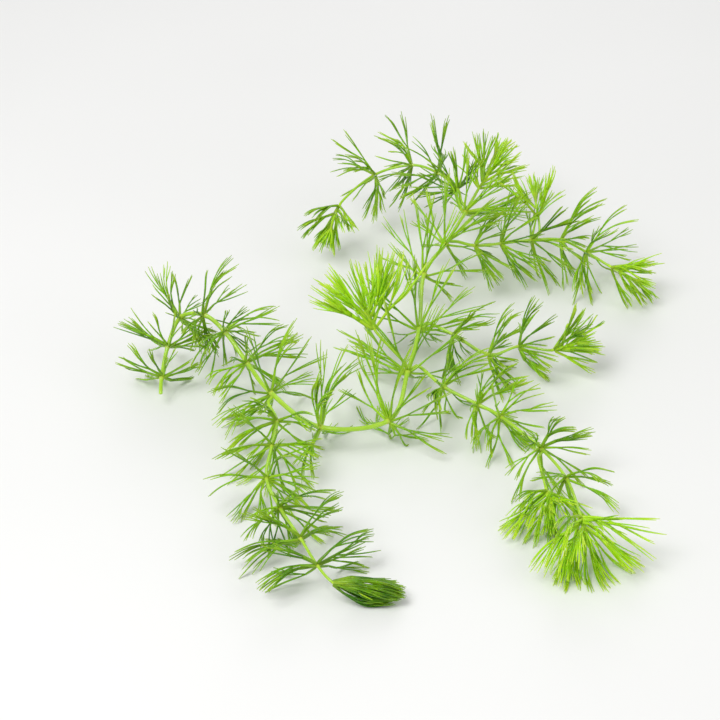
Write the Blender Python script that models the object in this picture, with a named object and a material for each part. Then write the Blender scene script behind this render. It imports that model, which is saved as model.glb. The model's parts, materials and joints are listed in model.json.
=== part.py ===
"""A branched hornwort plant that lies on a surface.

The stems are tubes through their joints. A whorl of forked leaves stands round
each joint on a collar that the stem passes through, and each stem ends in a
leafy tip, whose whorls sit so close that they are one piece.
X runs along the front of the plant, Y away from it and Z up.
"""

import math
import random
from collections import namedtuple

import bmesh
import bpy
import numpy as np
from mathutils import Matrix, Vector

# All lengths are in millimetres and become metres where a shape is made.
METRE = 0.001

# Clear space between pieces that meet, and between a leaf and what it passes.
JOINT_GAP = 0.3
LEAF_GAP = 0.12

# Stems.
STEM_STEP = 6.0
STEM_BEVEL_RESOLUTION = 1

# A side branch leaves its parent at this angle, just ahead of a whorl, and runs
# straight for a short way.
AXIL_ANGLE = math.radians(60)
AXIL_RUN = 2.0
AXIL_POINTS = 2

# The collar that carries a whorl.
COLLAR_HEIGHT = 0.9
COLLAR_WALL = 0.45

# A leaf: a base that forks into two prongs, which end in points.
BASE_SHARE = 0.26
ROOT_REACH = 0.6
FORK_HALF_WIDTH = 0.27
FORK_HALF_HEIGHT = 0.21
FORK_REACH = math.hypot(FORK_HALF_WIDTH, FORK_HALF_HEIGHT) + 0.03
PRONG_SCALE = 0.75
FORK_ANGLE = math.radians(13)
FORWARD_CURL = 0.30
DROOP = 0.22
LOWEST_LEAF = 0.35
SWEPT_REACH = 0.4
LEAF_TRIES = 24
SHORTER = (1.0, 0.85, 0.65)

# The column that carries the leaves of a tip.
TIP_SIDES = 6
TIP_ROOT_RADIUS = 0.8
TIP_END_RADIUS = 0.4

# A joint: its place, the length of its leaves, how many leaves it carries, their
# angle from the stem in degrees, the way they are swept, as a vector, and how far
# they are pressed flat, from 0 to 1.
Joint = namedtuple("Joint", "x y z leaf count spread sweep flat", defaults=(0.0,))

# A piece of stem: its name, its last joint, and its radius at both ends.
Piece = namedtuple("Piece", "name last start_radius end_radius")

# The leafy end of a stem: rows of leaves, their length, spread, sweep and flatness,
# and how strongly they curl together.
Tip = namedtuple("Tip", "name rows leaf spread sweep flat curl", defaults=(0.0, FORWARD_CURL))

# The way that the leaves of one row stand.
Habit = namedtuple("Habit", "spread sweep flat curl")

# A branch: the branch and joint that it springs from, its joints from root to
# tip, its pieces of stem, its leafy end, and its age, from 0 young to 1 old.
Branch = namedtuple("Branch", "name parent fork joints pieces tip age")

UP = Vector((0.0, 0.0, 1.0))
NO_SWEEP = (0.0, 0.0, 0.0)

BRANCHES = [
    Branch("main", None, 0, [
        Joint(-56.5, -23.0, 5.0, 0, 0, 0, NO_SWEEP),
        Joint(-56.5, -17.5, 7.0, 13, 6, 75, (-0.2, 0.0, 0.0)),
        Joint(-55.0, -9.5, 12.0, 15, 6, 75, (-0.3, 0.1, 0.0)),
        Joint(-51.5, -4.0, 18.0, 15, 6, 75, (-0.1, 0.3, 0.0)),
        Joint(-44.5, -7.0, 21.0, 16, 6, 75, (0.0, 0.3, 0.2)),
        Joint(-38.5, -11.0, 18.0, 16, 6, 75, (0.1, 0.3, 0.1)),
        Joint(-32.0, -19.0, 13.0, 17, 6, 75, (0.1, 0.3, 0.1)),
        Joint(-25.0, -30.5, 11.0, 20, 7, 72, (-0.4, 0.4, 0.3)),
        Joint(-11.0, -45.0, 10.0, 21, 8, 68, (-0.35, 0.45, 0.3)),
        Joint(8.0, -42.0, 10.0, 23, 8, 72, (-0.5, 0.2, 0.15)),
        Joint(13.5, -22.0, 12.0, 22, 8, 68, (-0.3, 0.1, 0.2)),
        Joint(17.0, -5.0, 15.0, 21, 8, 68, (-0.1, 0.1, 0.1)),
        Joint(19.0, 20.0, 17.0, 22, 8, 66, (0.1, 0.1, 0.2)),
        Joint(26.0, 36.5, 17.0, 20, 8, 64, (0.0, 0.2, 0.3)),
        Joint(32.5, 53.0, 18.0, 19, 7, 60, (0.2, 0.1, 0.2)),
        Joint(36.5, 62.0, 20.0, 0, 0, 0, NO_SWEEP),
        Joint(39.5, 68.0, 22.0, 0, 0, 0, NO_SWEEP),
        Joint(42.5, 76.5, 25.0, 0, 0, 0, NO_SWEEP),
    ], [
        Piece("main_stem_lower", 7, 0.55, 0.65),
        Piece("main_stem_middle", 10, 0.70, 0.65),
        Piece("main_stem_upper", 13, 0.65, 0.55),
        Piece("main_stem_top", 15, 0.55, 0.45),
    ], Tip("main_tip_leaves", 5, 17, 50, (0.2, 0.1, 0.2)), 0.55),

    Branch("left", "main", 7, [
        Joint(-23.0, -41.0, 9.0, 17, 8, 75, NO_SWEEP),
        Joint(-24.0, -52.0, 9.0, 17, 7, 75, (0.0, 0.0, 0.1)),
        Joint(-25.0, -66.0, 9.0, 16, 7, 75, (0.0, 0.0, 0.1)),
        Joint(-21.0, -78.5, 9.0, 15, 6, 70, (0.3, 0.0, 0.1)),
        Joint(-15.5, -90.5, 9.0, 18, 7, 80, (-0.3, 0.4, 0.0), 0.6),
        Joint(-11.0, -100.0, 8.0, 17, 6, 76, (-0.1, 0.45, 0.0), 0.6),
        Joint(-7.0, -105.5, 7.0, 0, 0, 0, NO_SWEEP),
        Joint(-2.3, -106.0, 5.8, 0, 0, 0, NO_SWEEP),
    ], [
        Piece("left_branch_stem", 6, 0.50, 0.38),
    ], Tip("left_tip_leaves", 6, 19, 16, (0.3, 0.05, 0.0), 0.5, 1.2), 0.8),

    Branch("right", "main", 10, [
        Joint(23.5, -26.5, 10.0, 16, 6, 72, (0.1, 0.2, 0.2)),
        Joint(33.0, -33.5, 9.0, 16, 6, 72, (0.1, 0.2, 0.2)),
        Joint(39.0, -39.0, 9.0, 16, 6, 72, (0.0, 0.0, 0.1)),
        Joint(49.0, -54.5, 10.0, 17, 7, 72, (-0.1, -0.2, 0.0)),
        Joint(55.0, -67.5, 10.0, 17, 7, 65, (0.0, -0.2, 0.0)),
        Joint(57.5, -82.5, 10.0, 0, 0, 0, NO_SWEEP),
        Joint(58.5, -89.5, 9.0, 0, 0, 0, NO_SWEEP),
    ], [
        Piece("right_branch_stem", 5, 0.50, 0.42),
    ], Tip("right_tip_leaves", 5, 23, 70, (0.0, -0.3, 0.0)), 0.6),

    Branch("right_shoot", "right", 3, [
        Joint(49.5, -69.0, 8.0, 0, 0, 0, NO_SWEEP),
        Joint(50.0, -76.0, 7.0, 0, 0, 0, NO_SWEEP),
    ], [
        Piece("right_shoot_stem", 0, 0.38, 0.35),
    ], Tip("right_shoot_leaves", 3, 17, 62, (-0.4, -0.1, 0.0)), 0.7),

    Branch("bright_shoot", "main", 10, [
        Joint(4.4, -13.6, 20.0, 0, 0, 0, NO_SWEEP),
        Joint(1.4, -9.4, 24.5, 0, 0, 0, NO_SWEEP),
    ], [
        Piece("bright_shoot_stem", 0, 0.45, 0.42),
    ], Tip("bright_shoot_leaves", 5, 24, 62, (0.1, 0.15, 0.2)), 0.0),

    Branch("back_right", "main", 13, [
        Joint(35.0, 37.5, 15.5, 15, 6, 72, (0.1, 0.0, 0.1)),
        Joint(43.0, 39.5, 15.0, 18, 6, 72, (0.0, 0.1, 0.2)),
        Joint(52.5, 43.0, 14.0, 18, 6, 72, (0.0, 0.1, 0.1)),
        Joint(61.5, 44.5, 13.0, 18, 6, 70, (0.0, 0.2, 0.2)),
        Joint(69.0, 39.0, 12.0, 18, 6, 65, (0.0, 0.2, 0.2)),
        Joint(75.0, 33.5, 11.0, 0, 0, 0, NO_SWEEP),
        Joint(79.5, 30.5, 10.0, 0, 0, 0, NO_SWEEP),
        Joint(83.0, 28.5, 9.0, 0, 0, 0, NO_SWEEP),
    ], [
        Piece("back_right_branch_stem", 5, 0.48, 0.38),
    ], Tip("back_right_tip_leaves", 4, 14, 50, (0.0, 0.1, 0.1)), 0.5),

    Branch("back_right_shoot", "back_right", 2, [
        Joint(54.5, 48.0, 18.5, 0, 0, 0, NO_SWEEP),
        Joint(53.5, 53.0, 23.0, 0, 0, 0, NO_SWEEP),
    ], [
        Piece("back_right_shoot_stem", 0, 0.38, 0.36),
    ], Tip("back_right_shoot_leaves", 3, 16, 45, (0.0, 0.0, 0.1)), 0.3),

    Branch("back_left", "main", 14, [
        Joint(30.0, 61.5, 21.0, 14, 6, 72, (-0.1, 0.1, 0.2)),
        Joint(24.0, 67.5, 23.0, 17, 6, 72, (0.0, 0.1, 0.2)),
        Joint(16.0, 72.0, 23.0, 17, 6, 72, (0.0, 0.1, 0.2)),
        Joint(4.5, 71.0, 20.0, 17, 6, 70, (-0.1, 0.1, 0.2)),
        Joint(-6.0, 60.0, 16.5, 0, 0, 0, NO_SWEEP),
        Joint(-9.0, 50.5, 13.0, 0, 0, 0, NO_SWEEP),
    ], [
        Piece("back_left_branch_stem", 4, 0.48, 0.38),
    ], Tip("back_left_tip_leaves", 4, 14, 50, (-0.1, 0.0, 0.1)), 0.5),

    Branch("side", "main", 11, [
        Joint(27.0, -5.5, 13.0, 15, 6, 72, (0.0, 0.1, 0.1)),
        Joint(37.0, -11.0, 10.0, 16, 6, 72, (0.0, 0.1, 0.1)),
        Joint(46.0, -7.0, 10.0, 15, 6, 70, (0.0, 0.1, 0.1)),
        Joint(55.0, -9.0, 10.0, 0, 0, 0, NO_SWEEP),
        Joint(62.0, -8.0, 12.0, 0, 0, 0, NO_SWEEP),
    ], [
        Piece("side_branch_stem", 3, 0.45, 0.38),
    ], Tip("side_tip_leaves", 4, 14, 50, (0.1, 0.1, 0.1)), 0.6),
]

# Colours of the oldest and the youngest leaves and stems, as linear RGB.
OLD_LEAF = (0.07, 0.16, 0.01)
YOUNG_LEAF = (0.30, 0.55, 0.04)
OLD_STEM = (0.20, 0.34, 0.04)
YOUNG_STEM = (0.42, 0.62, 0.10)
PLANT_ROUGHNESS = 0.35


def clear_scene():
    for item in list(bpy.data.objects):
        bpy.data.objects.remove(item)


def mixed(first, second, share):
    return tuple(a + (b - a) * share for a, b in zip(first, second))


def plant_material(name, colour):
    material = bpy.data.materials.new(name)
    material.use_nodes = True
    shader = material.node_tree.nodes["Principled BSDF"]
    shader.inputs["Base Color"].default_value = (*colour, 1.0)
    shader.inputs["Roughness"].default_value = PLANT_ROUGHNESS
    shader.inputs["Metallic"].default_value = 0.0
    material.diffuse_color = (*colour, 1.0)
    return material


class Route:
    """A smooth curve through a branch's joints, read by joint number."""

    def __init__(self, points):
        self.points = points

    def at(self, number):
        """The place at a joint number, which may lie between two joints."""
        last = len(self.points) - 1
        low = min(max(int(math.floor(number)), 0), last - 1)
        share = number - low
        before = self.points[max(low - 1, 0)]
        start = self.points[low]
        end = self.points[low + 1]
        after = self.points[min(low + 2, last)]
        steady = (before * -0.5 + start * 1.5 - end * 1.5 + after * 0.5) * share ** 3
        bending = (before - start * 2.5 + end * 2.0 - after * 0.5) * share ** 2
        leading = (end - before) * 0.5 * share
        return start + leading + bending + steady

    def heading(self, number):
        """The direction of growth at a joint number."""
        last = len(self.points) - 1
        ahead = self.at(min(number + 0.05, last))
        behind = self.at(max(number - 0.05, 0))
        return (ahead - behind).normalized()

    def stretch(self, start, end, step):
        """Points from one joint number to another, about one step apart."""
        found = [self.at(start)]
        low = start
        while low < end - 1e-6:
            high = min(math.floor(low + 1e-6) + 1, end)
            length = (self.at(high) - self.at(low)).length
            count = max(1, round(length / step))
            for index in range(1, count + 1):
                found.append(self.at(low + (high - low) * index / count))
            low = high
        return found


class Filled:
    """The space that is taken, as round bars that a new leaf keeps clear of."""

    def __init__(self):
        self.starts = np.zeros((0, 3))
        self.ends = np.zeros((0, 3))
        self.radii = np.zeros(0)
        self.carriers = np.zeros(0, dtype=object)

    def add(self, bars, carrier=""):
        """Fills bars; a carrier's name marks the collar or column of that piece."""
        for start, end, radius in bars:
            self.starts = np.vstack([self.starts, np.array(start)])
            self.ends = np.vstack([self.ends, np.array(end)])
            self.radii = np.append(self.radii, radius)
            self.carriers = np.append(self.carriers, carrier)

    def is_clear(self, bars, carrier):
        """Whether bars keep the leaf gap to all but the piece that carries them."""
        kept = self.carriers != carrier
        for start, end, radius in bars:
            gaps = self.gaps(np.array(start), np.array(end)) - radius
            if np.min(gaps[kept]) < LEAF_GAP:
                return False
        return True

    def gaps(self, start, end):
        """The gaps from one line to every stored bar, by their closest points."""
        own = end - start
        others = self.ends - self.starts
        offset = start - self.starts
        own_square = max(float(own @ own), 1e-9)
        other_square = np.maximum(np.einsum("ij,ij->i", others, others), 1e-9)
        across = others @ own
        own_part = offset @ own
        other_part = np.einsum("ij,ij->i", others, offset)
        spread = np.maximum(own_square * other_square - across ** 2, 1e-9)
        share = np.clip((across * other_part - own_part * other_square) / spread, 0, 1)
        other_share = np.clip((across * share + other_part) / other_square, 0, 1)
        share = np.clip((across * other_share - own_part) / own_square, 0, 1)
        here = start + share[:, None] * own
        there = self.starts + other_share[:, None] * others
        return np.linalg.norm(here - there, axis=1) - self.radii


def frame_at(place, heading):
    """A matrix whose Z axis is the heading, at a place."""
    return Matrix.Translation(place) @ heading.to_track_quat("Z", "Y").to_matrix().to_4x4()


def object_from_bmesh(name, bm, matrix, colour, collection):
    """A named object in metres, with its flat facets and its own material."""
    bmesh.ops.triangulate(bm, faces=bm.faces[:])
    bmesh.ops.recalc_face_normals(bm, faces=bm.faces[:])
    bmesh.ops.scale(bm, vec=(METRE, METRE, METRE), verts=bm.verts[:])
    mesh = bpy.data.meshes.new(name)
    bm.to_mesh(mesh)
    bm.free()
    item = bpy.data.objects.new(name, mesh)
    item.matrix_world = Matrix.Translation(matrix.translation * METRE) @ matrix.to_3x3().to_4x4()
    mesh.materials.append(plant_material(name, colour))
    collection.objects.link(item)
    return item


def stem_object(name, points, start_radius, end_radius, colour, collection):
    """A tube through points in millimetres, which narrows to its end."""
    curve = bpy.data.curves.new(name, "CURVE")
    curve.dimensions = "3D"
    curve.bevel_depth = start_radius * METRE
    curve.bevel_resolution = STEM_BEVEL_RESOLUTION
    curve.use_fill_caps = True
    spline = curve.splines.new("POLY")
    spline.points.add(len(points) - 1)
    for index, place in enumerate(points):
        share = index / (len(points) - 1)
        spline.points[index].co = (*((place - points[0]) * METRE), 1.0)
        spline.points[index].radius = 1.0 + (end_radius / start_radius - 1.0) * share
    item = bpy.data.objects.new(name, curve)
    item.location = points[0] * METRE
    curve.materials.append(plant_material(name, colour))
    collection.objects.link(item)
    return item


def step_over_floor(place, heading, length):
    """The next place along a leaf, which slides over the floor it meets."""
    ahead = place + heading * length
    if ahead.z >= LOWEST_LEAF:
        return ahead
    drop = LOWEST_LEAF - place.z
    flat = Vector((heading.x, heading.y, 0.0))
    if flat.length < 1e-3:
        flat = Vector((0.0, -1.0, 0.0))
    run = math.sqrt(max(length * length - drop * drop, 0.04))
    ahead = place + flat.normalized() * run
    ahead.z = LOWEST_LEAF
    return ahead


def leaf_plan(root, outward, growth, habit, length, steps, wander, draw):
    """The fork and the two prongs of a leaf that leaves its root outward.

    A leaf with more wander strays further from its even place in the whorl.
    """
    flip = draw.choice((-1.0, 1.0))
    tilt = math.radians(habit.spread + draw.uniform(-8, 8) * (1.0 + 2.0 * wander))
    turn = growth.cross(outward).normalized() * draw.uniform(-0.2, 0.2) * (1.0 + 2.0 * wander)
    swept = Vector(habit.sweep) * (1.0 - 0.7 * wander)
    heading = outward * math.sin(tilt) + growth * math.cos(tilt) + turn + swept
    heading.z *= 1.0 - habit.flat
    heading = heading.normalized()
    lack = 0.35 - heading.dot(outward)
    if lack > 0:
        heading = (heading + outward * lack * 1.5).normalized()
    fork = step_over_floor(root, heading, length * BASE_SHARE)
    heading = (fork - root).normalized()
    side = outward.rotation_difference(heading) @ growth.cross(outward).normalized()
    upper = heading.cross(side).normalized()
    corner = (side * FORK_HALF_WIDTH + upper * FORK_HALF_HEIGHT * flip).normalized()
    apart = heading.cross(corner).normalized()
    prongs = []
    for hand in (-1.0, 1.0):
        ahead = heading + apart * math.tan(FORK_ANGLE) * hand
        ahead = ahead + growth * habit.curl * 0.5 - UP * DROOP * 0.5
        place = fork
        points = []
        for index in range(steps):
            place = step_over_floor(place, ahead.normalized(), length * (1 - BASE_SHARE) / steps)
            points.append(place)
            ahead = ahead.normalized() + growth * habit.curl - UP * DROOP
        prongs.append(points)
    return fork, side, upper, apart, prongs


def leaf_bars(root, fork, prongs):
    """The bars that a planned leaf fills, from just outside its root."""
    thick_end = root.lerp(fork, 0.35)
    bars = [(root.lerp(fork, 0.1), thick_end, ROOT_REACH), (thick_end, fork, FORK_REACH)]
    for points in prongs:
        place = fork
        radius = FORK_REACH
        for ahead in points:
            bars.append((place, ahead, radius))
            radius *= PRONG_SCALE
            place = ahead
    return bars


def centre_of(verts):
    total = Vector((0.0, 0.0, 0.0))
    for vert in verts:
        total += vert.co
    return total / len(verts)


def extruded(bm, face):
    return bmesh.ops.extrude_discrete_faces(bm, faces=[face])["faces"][0]


def grow_leaf(bm, face, outward, growth, plan, to_local):
    """Draws a planned leaf out of a four-sided face of its collar or column."""
    fork, side, upper, apart, prongs = plan
    turned = to_local.to_3x3()
    root = centre_of(face.verts)
    across = turned @ growth.cross(outward).normalized()
    along = turned @ growth
    end = extruded(bm, face)
    rim = list(end.verts)
    for vert in rim:
        offset = vert.co - root
        right = math.copysign(FORK_HALF_WIDTH, offset.dot(across))
        high = math.copysign(FORK_HALF_HEIGHT, offset.dot(along))
        vert.co = to_local @ (fork + side * right + upper * high)
    split = turned @ apart
    middle = to_local @ fork
    order = sorted(rim, key=lambda vert: abs((vert.co - middle).dot(split)))
    halves = bmesh.ops.connect_verts(bm, verts=order[:2])
    faces = list(halves["edges"][0].link_faces)
    faces.sort(key=lambda half: (half.calc_center_median() - middle).dot(split))
    for half, points in zip(faces, prongs):
        grow_prong(bm, half, middle, [to_local @ point for point in points])


def grow_prong(bm, face, start, points):
    """Draws a three-sided prong through points and ends it in a point."""
    place = start
    old_heading = (points[0] - place).normalized()
    for index, ahead in enumerate(points):
        face = extruded(bm, face)
        verts = list(face.verts)
        if index == len(points) - 1:
            bmesh.ops.pointmerge(bm, verts=verts, merge_co=ahead)
            return
        heading = (ahead - place).normalized()
        turn = old_heading.rotation_difference(heading)
        centre = centre_of(verts)
        for vert in verts:
            vert.co = ahead + turn @ (vert.co - centre) * PRONG_SCALE
        old_heading = heading
        place = ahead


def place_leaf(bm, face, growth, habit, length, steps, matrix, filled, carrier, draw):
    """Finds a clear way for one leaf and grows it; a crowded leaf is shorter."""
    to_local = matrix.inverted()
    root = matrix @ centre_of(face.verts)
    outward = (matrix.to_3x3() @ face.normal).normalized()
    outward = (outward - growth * outward.dot(growth)).normalized()
    reach = length * (1.0 + SWEPT_REACH * outward.dot(Vector(habit.sweep)))
    for share in SHORTER:
        for attempt in range(LEAF_TRIES):
            size = reach * share * draw.uniform(0.9, 1.0)
            wander = attempt / LEAF_TRIES
            plan = leaf_plan(root, outward, growth, habit, size, steps, wander, draw)
            bars = leaf_bars(root, plan[0], plan[4])
            if filled.is_clear(bars, carrier):
                grow_leaf(bm, face, outward, growth, plan, to_local)
                filled.add(bars)
                return True
    return False


def whorl_object(name, joint, place, growth, stem_radius, colour, filled, draw, collection):
    """A collar round a joint with its leaves, as one piece."""
    matrix = frame_at(place, growth)
    inner = (stem_radius + JOINT_GAP) / math.cos(math.pi / joint.count)
    outer = inner + COLLAR_WALL
    bm = bmesh.new()
    rims = bmesh.ops.create_circle(bm, segments=joint.count, radius=outer)
    hole = bmesh.ops.create_circle(bm, segments=joint.count, radius=inner)
    edges = {edge for vert in rims["verts"] + hole["verts"] for edge in vert.link_edges}
    ring = bmesh.ops.bridge_loops(bm, edges=list(edges))["faces"]
    bmesh.ops.translate(bm, verts=bm.verts[:], vec=(0, 0, -COLLAR_HEIGHT / 2))
    raised = bmesh.ops.extrude_face_region(bm, geom=ring)["geom"]
    verts = [item for item in raised if isinstance(item, bmesh.types.BMVert)]
    bmesh.ops.translate(bm, verts=verts, vec=(0, 0, COLLAR_HEIGHT))
    bmesh.ops.recalc_face_normals(bm, faces=bm.faces[:])
    middle = (inner + outer) / 2 * math.cos(math.pi / joint.count)
    walls = [face for face in bm.faces
             if abs(face.normal.z) < 0.5 and face.calc_center_median().length > middle]
    walls.sort(key=lambda face: math.atan2(face.normal.y, face.normal.x))
    habit = Habit(joint.spread, joint.sweep, joint.flat, FORWARD_CURL)
    for index, face in enumerate(walls):
        place_leaf(bm, face, growth, habit, joint.leaf, 2 - index % 2, matrix, filled,
                   name, draw)
    return object_from_bmesh(name, bm, matrix, colour, collection)


def tip_object(tip, route, start, colour, filled, draw, collection):
    """The leafy end of a stem: a column of close rows of leaves, as one piece."""
    last = len(route.points) - 1
    growth = route.heading((start + last) / 2)
    matrix = frame_at(route.at(start), growth)
    to_local = matrix.inverted()
    bm = bmesh.new()
    made = bmesh.ops.create_circle(bm, cap_ends=True, segments=TIP_SIDES, radius=TIP_ROOT_RADIUS)
    bottom = made["verts"][0].link_faces[0]
    if bottom.normal.z > 0:
        bottom.normal_flip()
    top = bottom
    rows = []
    for row in range(tip.rows):
        share = (row + 1) / tip.rows
        centre = to_local @ route.at(start + (last - start) * share)
        radius = TIP_ROOT_RADIUS + (TIP_END_RADIUS - TIP_ROOT_RADIUS) * share
        old = {vert for vert in top.verts}
        if row == 0:
            grown = bmesh.ops.extrude_face_region(bm, geom=[top], use_keep_orig=True)["geom"]
            top = [item for item in grown if isinstance(item, bmesh.types.BMFace)][0]
        else:
            top = extruded(bm, top)
        verts = list(top.verts)
        before = centre_of(verts)
        width = (verts[0].co - before).length
        for vert in verts:
            vert.co = centre + (vert.co - before) * (radius / width)
        sides = [face for edge in top.edges for face in edge.link_faces if face is not top]
        rows.append([face for face in sides if any(vert in old for vert in face.verts)])
    bmesh.ops.recalc_face_normals(bm, faces=bm.faces[:])
    for row, sides in enumerate(rows):
        share = row / max(1, tip.rows - 1)
        habit = Habit(tip.spread * (1.0 - 0.45 * share), tip.sweep, tip.flat, tip.curl)
        length = tip.leaf * (1.0 - 0.25 * share)
        sides.sort(key=lambda face: math.atan2(face.normal.y, face.normal.x))
        for index, face in enumerate(sides):
            if (index + row) % 2:
                continue
            place_leaf(bm, face, growth, habit, length, 2 - index // 2 % 2, matrix,
                       filled, tip.name, draw)
    end = centre_of(top.verts) + to_local.to_3x3() @ growth * TIP_END_RADIUS * 2
    bmesh.ops.pointmerge(bm, verts=list(top.verts), merge_co=end)
    return object_from_bmesh(tip.name, bm, matrix, colour, collection)


def branch_route(branch, routes, shifts, radii):
    """The branch's smooth course, which starts clear of the stem it grows from."""
    points = [Vector((joint.x, joint.y, joint.z)) for joint in branch.joints]
    if branch.parent is None:
        return Route(points)
    parent = routes[branch.parent]
    number = branch.fork + shifts[branch.parent]
    fork = parent.at(number)
    growth = parent.heading(number)
    own_radius = branch.pieces[0].start_radius
    fork = fork + growth * (COLLAR_HEIGHT / 2 + JOINT_GAP + own_radius)
    outward = points[0] - fork
    outward = (outward - growth * outward.dot(growth)).normalized()
    leaving = outward * math.sin(AXIL_ANGLE) + growth * math.cos(AXIL_ANGLE)
    reach = radii[branch.parent][branch.fork] + JOINT_GAP + own_radius * math.cos(AXIL_ANGLE)
    start = fork + leaving * reach / math.sin(AXIL_ANGLE)
    return Route([start, start + leaving * AXIL_RUN] + points)


def whorl_name(branch, number):
    return f"{branch.name}_whorl_{number:02d}"


def joint_radii(branch):
    """The stem's radius at each joint of a branch."""
    found = []
    first = 0
    for piece in branch.pieces:
        count = piece.last - first
        for index in range(first, piece.last + 1):
            share = (index - first) / count if count else 1.0
            radius = piece.start_radius + (piece.end_radius - piece.start_radius) * share
            if len(found) <= index:
                found.append(radius)
        first = piece.last
    return found


def build_stems(branch, route, shift, filled, collection):
    """The branch's pieces of stem, with a small gap where two of them meet."""
    start = 0.0
    made = []
    for number, piece in enumerate(branch.pieces):
        end = piece.last + shift
        points = route.stretch(start, end, STEM_STEP)
        if number > 0:
            points[0] = points[0] + route.heading(start) * JOINT_GAP / 2
        closing = JOINT_GAP if number == len(branch.pieces) - 1 else JOINT_GAP / 2
        points[-1] = points[-1] - route.heading(end) * closing
        age = branch.age * (1.0 - 0.5 * number / len(branch.pieces))
        colour = mixed(YOUNG_STEM, OLD_STEM, age)
        made.append(stem_object(piece.name, points, piece.start_radius, piece.end_radius,
                                colour, collection))
        widest = max(piece.start_radius, piece.end_radius)
        filled.add([(low, high, widest) for low, high in zip(points, points[1:])])
        start = end
    return made


def build_leaves(branch, route, shift, radii, seed, filled, collection):
    """The branch's whorls and its leafy end."""
    made = []
    number = 0
    for index, joint in enumerate(branch.joints):
        if not joint.count:
            continue
        number += 1
        place = route.at(index + shift)
        growth = route.heading(index + shift)
        share = index / len(branch.joints)
        colour = mixed(YOUNG_LEAF, OLD_LEAF, branch.age * (1.0 - 0.4 * share))
        draw = random.Random(seed * 100 + index)
        name = whorl_name(branch, number)
        made.append(whorl_object(name, joint, place, growth, radii[index], colour,
                                 filled, draw, collection))
    draw = random.Random(seed * 100 + 99)
    colour = mixed(YOUNG_LEAF, OLD_LEAF, branch.age * 0.5)
    start = branch.pieces[-1].last + shift
    made.append(tip_object(branch.tip, route, start, colour, filled, draw, collection))
    return made


def fill_carriers(branch, route, shift, radii, filled):
    """Fills the space of a branch's collars and of the column of its tip."""
    number = 0
    for index, joint in enumerate(branch.joints):
        if joint.count:
            number += 1
            place = route.at(index + shift)
            half = route.heading(index + shift) * COLLAR_HEIGHT / 2
            inner = (radii[index] + JOINT_GAP) / math.cos(math.pi / joint.count)
            bar = (place - half, place + half, inner + COLLAR_WALL)
            filled.add([bar], whorl_name(branch, number))
    start = branch.pieces[-1].last + shift
    column = route.stretch(start, len(route.points) - 1, STEM_STEP)
    bars = [(low, high, TIP_ROOT_RADIUS) for low, high in zip(column, column[1:])]
    filled.add(bars, branch.tip.name)


def centre_on_floor(objects):
    """Parents the pieces to an empty that brings the plant's underside to the origin."""
    bpy.context.view_layer.update()
    graph = bpy.context.evaluated_depsgraph_get()
    corners = []
    for item in objects:
        mesh = item.evaluated_get(graph).to_mesh()
        corners += [item.matrix_world @ vert.co for vert in mesh.vertices]
        item.evaluated_get(graph).to_mesh_clear()
    low = Vector([min(corner[axis] for corner in corners) for axis in range(3)])
    high = Vector([max(corner[axis] for corner in corners) for axis in range(3)])
    origin = bpy.data.objects.new("plant_origin", None)
    origin.location = (-(low.x + high.x) / 2, -(low.y + high.y) / 2, -low.z)
    objects[0].users_collection[0].objects.link(origin)
    for item in objects:
        item.parent = origin


def build_plant():
    clear_scene()
    collection = bpy.data.collections.new("hornwort")
    bpy.context.scene.collection.children.link(collection)
    routes = {}
    radii = {}
    shifts = {}
    filled = Filled()
    objects = []
    for branch in BRANCHES:
        radii[branch.name] = joint_radii(branch)
        shifts[branch.name] = 0 if branch.parent is None else AXIL_POINTS
        routes[branch.name] = branch_route(branch, routes, shifts, radii)
        shift = shifts[branch.name]
        objects += build_stems(branch, routes[branch.name], shift, filled, collection)
    for branch in BRANCHES:
        fill_carriers(branch, routes[branch.name], shifts[branch.name],
                      radii[branch.name], filled)
    for seed, branch in enumerate(BRANCHES):
        objects += build_leaves(branch, routes[branch.name], shifts[branch.name],
                                radii[branch.name], seed, filled, collection)
    centre_on_floor(objects)


build_plant()
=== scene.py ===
"""The looks of a branched hornwort plant that lies on a pale surface.

Every whorl and leafy tip of the frame is replaced by fine forked leaves that
follow its solid's leaves, and every stem by a smooth stem with swollen joints.
"""

import json
import math
import random
from collections import namedtuple

import bpy
import numpy as np
from mathutils import Matrix, Vector

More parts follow.
